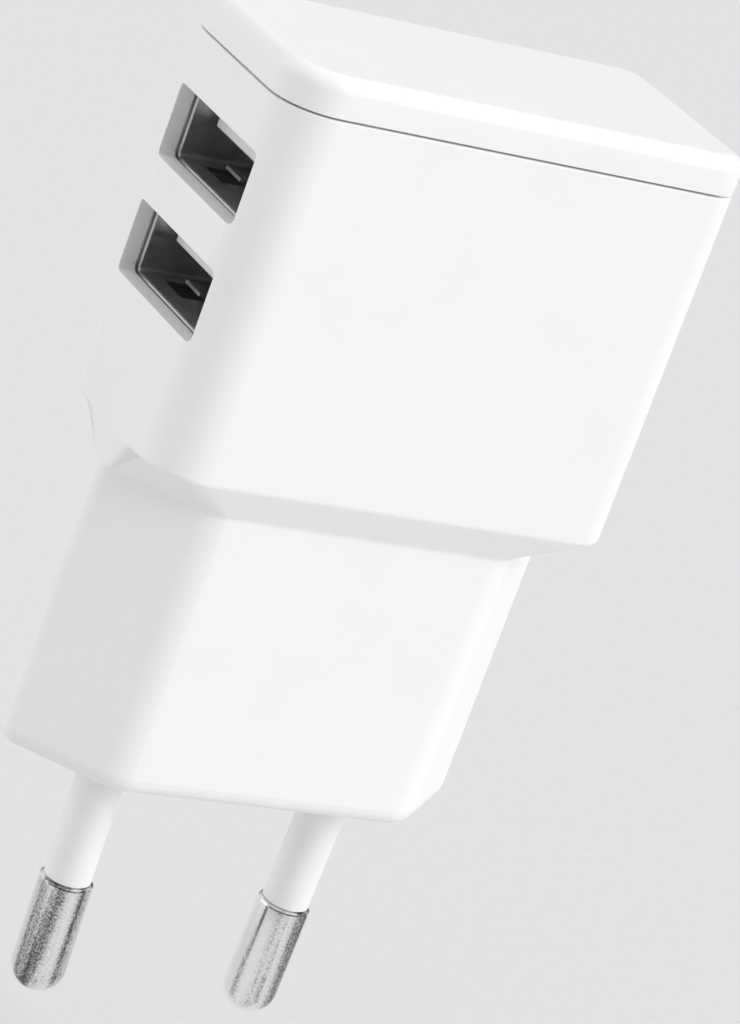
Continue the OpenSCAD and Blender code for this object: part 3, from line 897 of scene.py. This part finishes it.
# ------------------------------------------------------------------ transformer
# Two halves of sintered ferrite close round a moulded bobbin. The winding is wrapped in yellow
# polyester tape, whose turns overlap.
ferrite, ferrite_shader, ferrite_place = new_material("sintered_ferrite", ior=2.2)
ferrite_grain = noise(ferrite, ferrite_place, 4200, 5, 0.7)
link_patterns(
    ferrite, ferrite_shader,
    colour=tint(ferrite, ferrite_grain, (0.3, (0.035, 0.036, 0.04)), (0.7, (0.085, 0.085, 0.09))),
    rough=spread(ferrite, ferrite_grain, 0.5, 0.75), height=ferrite_grain, strength=0.35,
)
paint(ferrite, "transformer_core_top", "transformer_core_bottom", "output_choke")

bobbin, bobbin_shader, bobbin_place = new_material("black_phenolic", ior=1.55)
bobbin_grain = noise(bobbin, bobbin_place, 5200, 3)
link_patterns(
    bobbin, bobbin_shader,
    colour=tint(bobbin, bobbin_grain, (0.3, grey(0.014)), (0.7, grey(0.03))),
    rough=spread(bobbin, bobbin_grain, 0.4, 0.58), height=bobbin_grain, strength=0.2,
)
paint(bobbin, "transformer_bobbin")

tape, tape_shader, tape_place = new_material("yellow_tape", ior=1.6)
tape_turns = add_node(
    tape, "TexWave", {"Vector": tape_place, "Scale": 160.0, "Distortion": 0.6, "Detail": 2.0},
    bands_direction="Z", wave_profile="SAW",
).outputs["Fac"]
link_patterns(
    tape, tape_shader,
    colour=tint(tape, tape_turns, (0.1, (0.72, 0.50, 0.05)), (0.9, (0.84, 0.64, 0.12))),
    rough=spread(tape, tape_turns, 0.16, 0.3), height=tape_turns, strength=0.3,
)
paint(tape, "transformer_winding")

# ------------------------------------------------------------------ capacitors
# Aluminium cans in dark shrink sleeve, slightly wrinkled where it has pulled tight. The Y
# capacitor is a ceramic disc dipped in blue epoxy, with an orange-peel skin.
shrink, shrink_shader, shrink_place = new_material("shrink_sleeve", ior=1.54)
shrink_folds = noise(shrink, shrink_place, 700, 4, 0.6, stretch=(1, 1, 0.3))
link_patterns(
    shrink, shrink_shader,
    colour=tint(shrink, shrink_folds, (0.3, (0.012, 0.016, 0.045)), (0.7, (0.03, 0.035, 0.08))),
    rough=spread(shrink, shrink_folds, 0.18, 0.34), height=shrink_folds, strength=0.3,
)
paint(shrink, "left_input_capacitor", "right_input_capacitor",
      "left_output_capacitor", "right_output_capacitor")

dip, dip_shader, dip_place = new_material("blue_epoxy_dip", ior=1.56)
dip_skin = noise(dip, dip_place, 1600, 2)
link_patterns(
    dip, dip_shader,
    colour=tint(dip, dip_skin, (0.3, (0.03, 0.14, 0.42)), (0.7, (0.05, 0.20, 0.55))),
    rough=spread(dip, dip_skin, 0.14, 0.28), height=dip_skin, strength=0.4,
)
paint(dip, "y_capacitor")

# ------------------------------------------------------------------ resistor and choke
# Two barrel parts in thick lacquer, one blue-grey and one green, each with paler bands that the
# lacquer's flow leaves uneven.
for finish_name, low_colour, high_colour, node in (
    ("resistor_lacquer", (0.12, 0.26, 0.34), (0.20, 0.38, 0.47), "fusible_resistor"),
    ("choke_lacquer", (0.06, 0.22, 0.08), (0.12, 0.33, 0.14), "filter_choke"),
):
    lacquer, lacquer_shader, lacquer_place = new_material(finish_name, ior=1.52)
    flow = add_node(
        lacquer, "TexWave",
        {"Vector": lacquer_place, "Scale": 260.0, "Distortion": 1.5, "Detail": 2.0},
        bands_direction="Z",
    ).outputs["Fac"]
    link_patterns(
        lacquer, lacquer_shader,
        colour=tint(lacquer, flow, (0.2, low_colour), (0.8, high_colour)),
        rough=spread(lacquer, flow, 0.16, 0.3), height=flow, strength=0.2,
    )
    paint(lacquer, node)

# ------------------------------------------------------------------ chips and insulation sheet
# The rectifier and the chips are black filled epoxy with a matt, finely pitted skin. A sheet of
# milky polyester film keeps the mains side apart from the sockets.
epoxy, epoxy_shader, epoxy_place = new_material("black_filled_epoxy", ior=1.55)
epoxy_pits = noise(epoxy, epoxy_place, 6500, 4, 0.7)
link_patterns(
    epoxy, epoxy_shader,
    colour=tint(epoxy, epoxy_pits, (0.3, grey(0.012)), (0.7, grey(0.028))),
    rough=spread(epoxy, epoxy_pits, 0.55, 0.75), height=epoxy_pits, strength=0.3,
)
paint(epoxy, "bridge_rectifier", "optocoupler", "switching_controller", "output_diode",
      "port_controller")

film, film_shader, film_place = new_material("milky_film", ior=1.6)
film_haze = noise(film, film_place, 300, 4, 0.6)
link_patterns(
    film, film_shader,
    colour=tint(film, film_haze, (0.3, (0.66, 0.63, 0.50)), (0.7, (0.78, 0.76, 0.64))),
    rough=spread(film, film_haze, 0.28, 0.44), height=film_haze, strength=0.1,
)
paint(film, "insulation_sheet")
